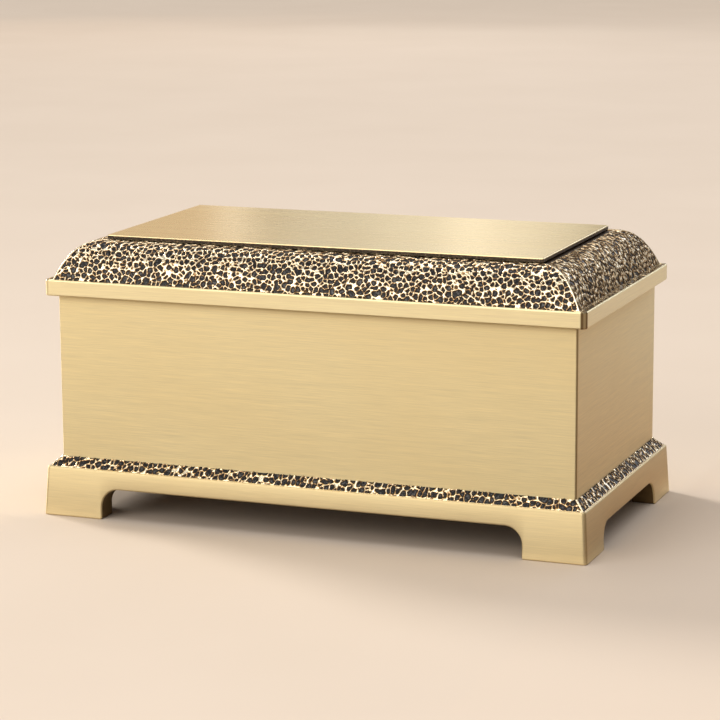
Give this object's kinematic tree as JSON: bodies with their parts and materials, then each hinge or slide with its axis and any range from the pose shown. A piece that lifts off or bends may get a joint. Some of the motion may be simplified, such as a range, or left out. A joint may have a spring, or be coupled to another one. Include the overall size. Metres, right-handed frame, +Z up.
{
  "type": "cremation urn",
  "caption": "Rectangular brass casket urn on bracket feet, with a pitted band at the base and a lift-off lid with a pitted convex moulding under a flat plate.",
  "frame": {"origin": "on the floor, at the middle of the urn's plan", "axes": "+X along the length, -Y out of the front, +Z up"},
  "size_m": [0.2846, 0.153, 0.1411],
  "materials": {
    "base_brass": "brushed satin, with a band of dark pits between polished ridges on its sloping top edge",
    "body_brass": "brushed satin, the grain lengthwise on every side",
    "lid_brass": "blackened pits between polished ridges on the ledge and the moulding, and a brushed satin rim",
    "plate_brass": "brushed satin top with darkened edges"
  },
  "bodies": {
    "root": {"base": "base_brass", "body": "body_brass", "lid": "lid_brass", "top_plate": "plate_brass"}
  },
  "joints": []
}
